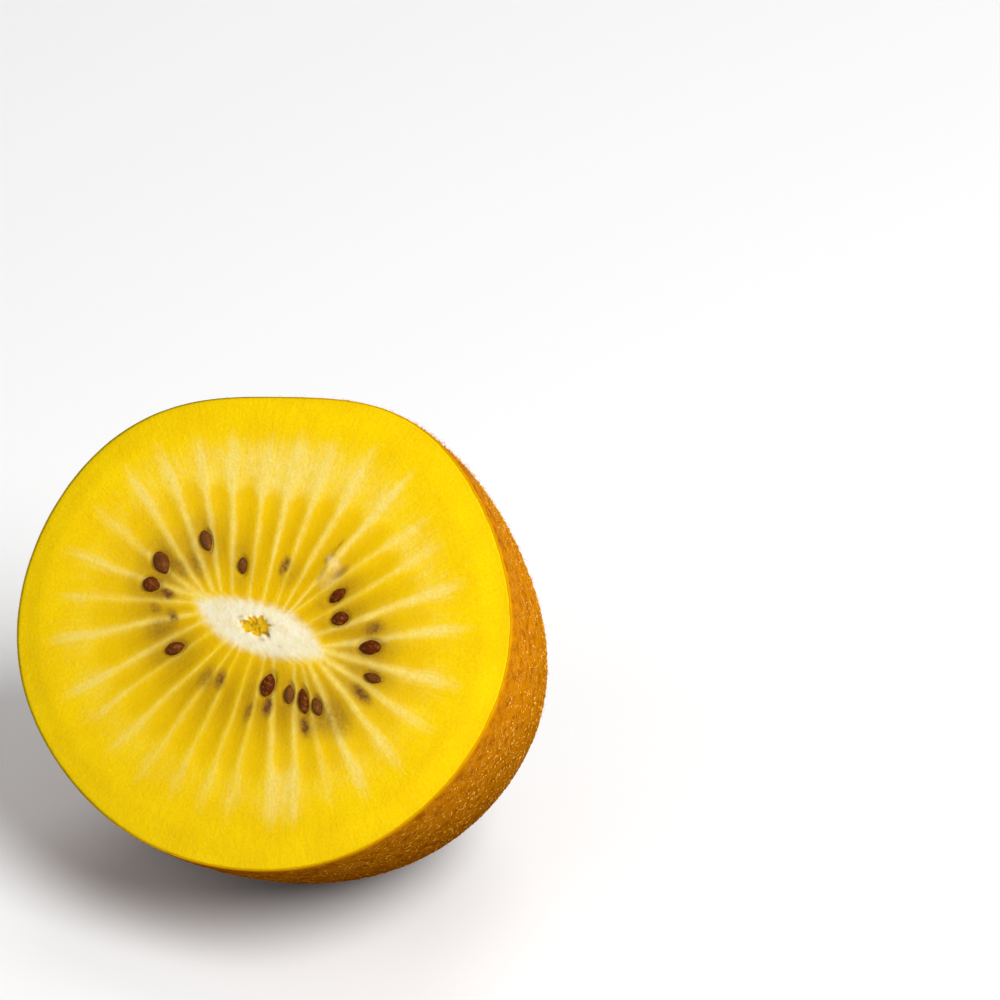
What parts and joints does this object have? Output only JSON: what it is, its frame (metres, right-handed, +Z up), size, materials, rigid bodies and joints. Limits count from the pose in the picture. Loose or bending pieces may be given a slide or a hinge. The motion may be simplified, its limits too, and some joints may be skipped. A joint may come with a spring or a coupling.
{
  "type": "golden kiwi fruit half",
  "caption": "Golden kiwi fruit cut across and lying back on its round brown side, showing yellow flesh, pale core, rays and dark seeds.",
  "frame": {"origin": "middle of the small flat spot that the half rests on, at the floor, under its weight", "axes": "+Z up; -Y to the front, the way the cut face looks as it leans back; +X along the face's long way, which lies level"},
  "size_m": [0.0554, 0.0474, 0.0476],
  "materials": {
    "flesh": "moist cut flesh, golden yellow",
    "core": "moist cut core, cream white",
    "seed": "glossy dark brown",
    "skin": "dull olive gold to brown, with tan dots",
    "hair": "fine tan down",
    "scar": "dry woody stem scar"
  },
  "bodies": {
    "root": {"kiwi_half": "flesh"}
  },
  "joints": []
}
